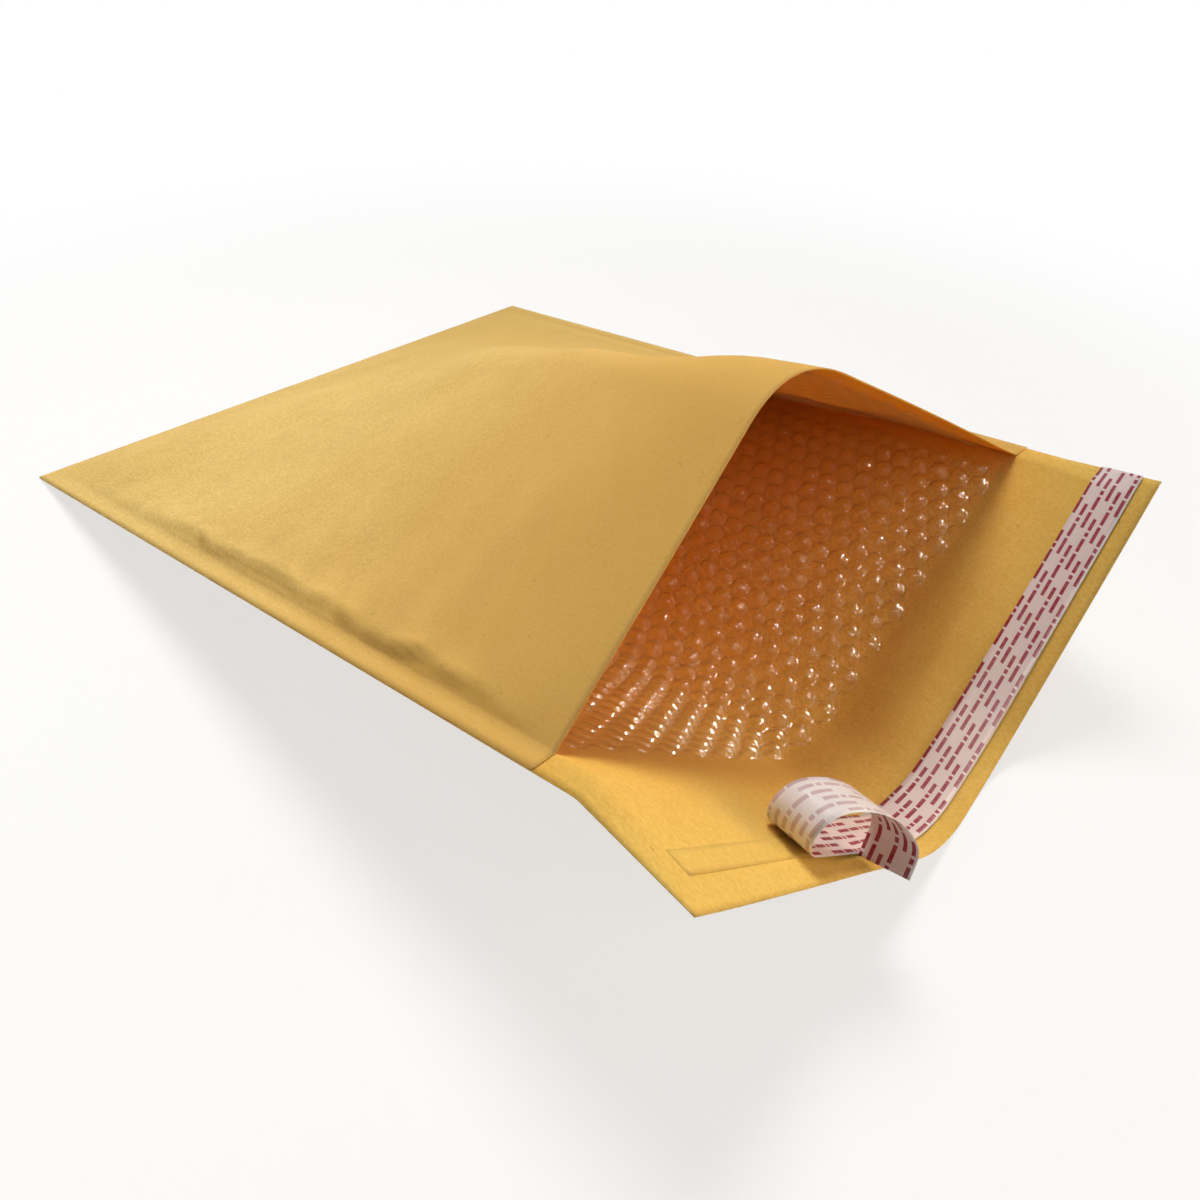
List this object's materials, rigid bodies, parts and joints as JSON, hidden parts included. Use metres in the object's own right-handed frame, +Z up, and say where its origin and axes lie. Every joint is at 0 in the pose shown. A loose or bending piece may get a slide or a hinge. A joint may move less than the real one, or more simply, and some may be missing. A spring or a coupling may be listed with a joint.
{
  "type": "padded envelope",
  "caption": "Kraft paper mailing pocket lined with bubble film, lying on its back with the mouth open, a glued closing flap and a half-peeled release strip.",
  "frame": {"origin": "on the table under the flat trough of the back panel, halfway along the pocket", "axes": "+X from the closed end to the flap, +Y from the near side seam to the far one, +Z up"},
  "size_m": [0.3124, 0.216, 0.0997],
  "materials": {
    "kraft_paper": "matte",
    "clear_film": "gloss",
    "hot_melt_glue": "satin",
    "release_paper": "satin"
  },
  "bodies": {
    "root": {"kraft_envelope": "kraft_paper", "bubble_liner": "clear_film", "adhesive_strip": "hot_melt_glue", "release_strip": "release_paper"}
  },
  "joints": []
}
